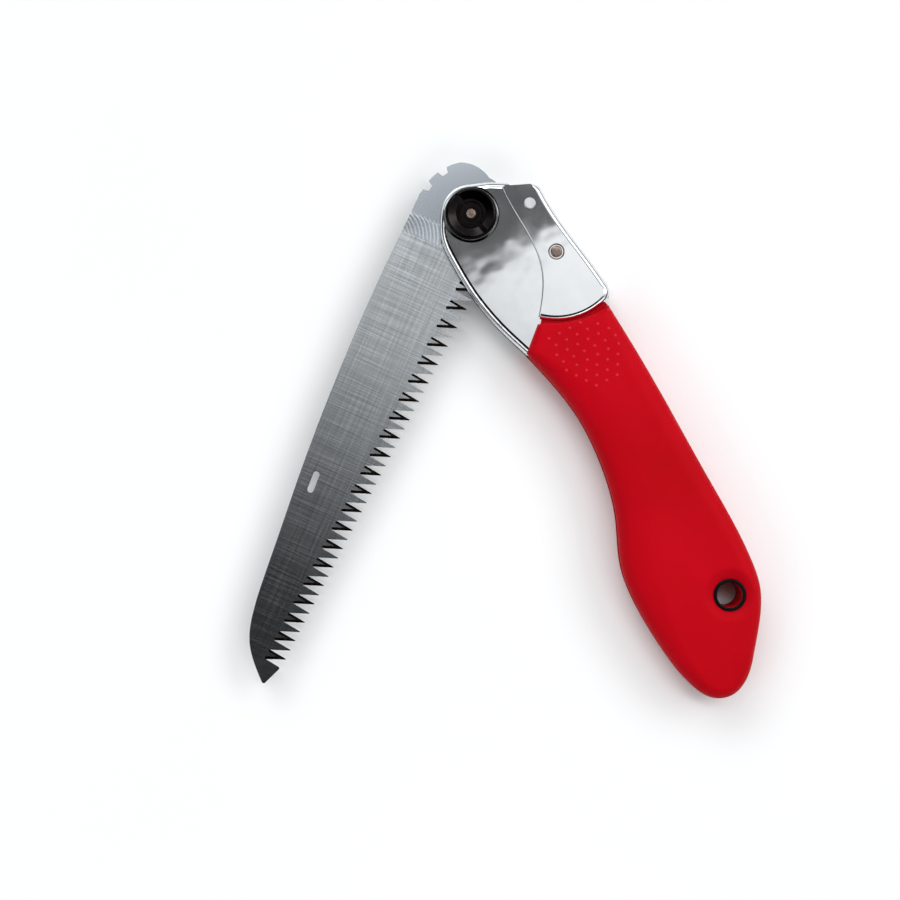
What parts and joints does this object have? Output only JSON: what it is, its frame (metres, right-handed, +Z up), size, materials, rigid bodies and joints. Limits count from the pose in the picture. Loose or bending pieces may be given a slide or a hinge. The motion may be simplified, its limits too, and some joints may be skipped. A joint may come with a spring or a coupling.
{
  "type": "folding pruning saw",
  "caption": "Folding saw with a toothed blade on a pivot, a pressed steel head with a rocking lock lever, a soft moulded grip and a hang hole.",
  "frame": {"origin": "centre of the bounding box in plan, on the surface the saw lies on", "axes": "+X along the handle from the butt to the head, +Y the side the blade folds into, +Z up, along the blade pivot"},
  "size_m": [0.2136, 0.1754, 0.02],
  "materials": {
    "plated_steel": "bright nickel plating on pressed steel",
    "liner_plastic": "moulded black nylon",
    "spacer_steel": "plain steel",
    "grip_rubber": "satin moulded elastomer",
    "ring_plastic": "black",
    "dark_steel": "glossy blackened steel",
    "bronze": "sintered bronze",
    "blade_steel": "ground and hard-plated saw steel",
    "rivet_steel": "peened steel"
  },
  "bodies": {
    "handle": {"frame_plate_top": "plated_steel", "frame_plate_bottom": "plated_steel", "slot_liner_top": "liner_plastic", "slot_liner_bottom": "liner_plastic", "spine_spacer": "spacer_steel", "spacer_rivets": "spacer_steel", "grip_cover": "grip_rubber", "hang_ring_top": "ring_plastic", "hang_ring_bottom": "ring_plastic", "pivot_bolt": "rivet_steel", "pivot_nut": "dark_steel", "spring_washer": "spacer_steel", "pivot_bush": "bronze", "friction_washer_top": "bronze", "friction_washer_bottom": "bronze", "blade_stop_pin": "spacer_steel", "lever_pivot_pin": "rivet_steel", "spring_seat": "spacer_steel", "lever_spring": "spacer_steel"},
    "blade": {"blade": "blade_steel"},
    "lever": {"lock_lever": "plated_steel", "lock_pin": "spacer_steel"}
  },
  "joints": [
    {"name": "blade_fold", "type": "hinge", "parent": "handle", "child": "blade", "pos_m": [0.0872, -0.0544, 0.01], "axis": [0, 0, 1], "range_deg": [-137, 53.6]},
    {"name": "lever_press", "type": "hinge", "parent": "handle", "child": "lever", "pos_m": [0.0616, -0.0752, 0.01], "axis": [0, 0, 1], "range_deg": [-3, 4.6], "stiffness_Nm_per_rad": 0.5, "springref_deg": 4.58, "deforming": ["lever_spring"]}
  ]
}
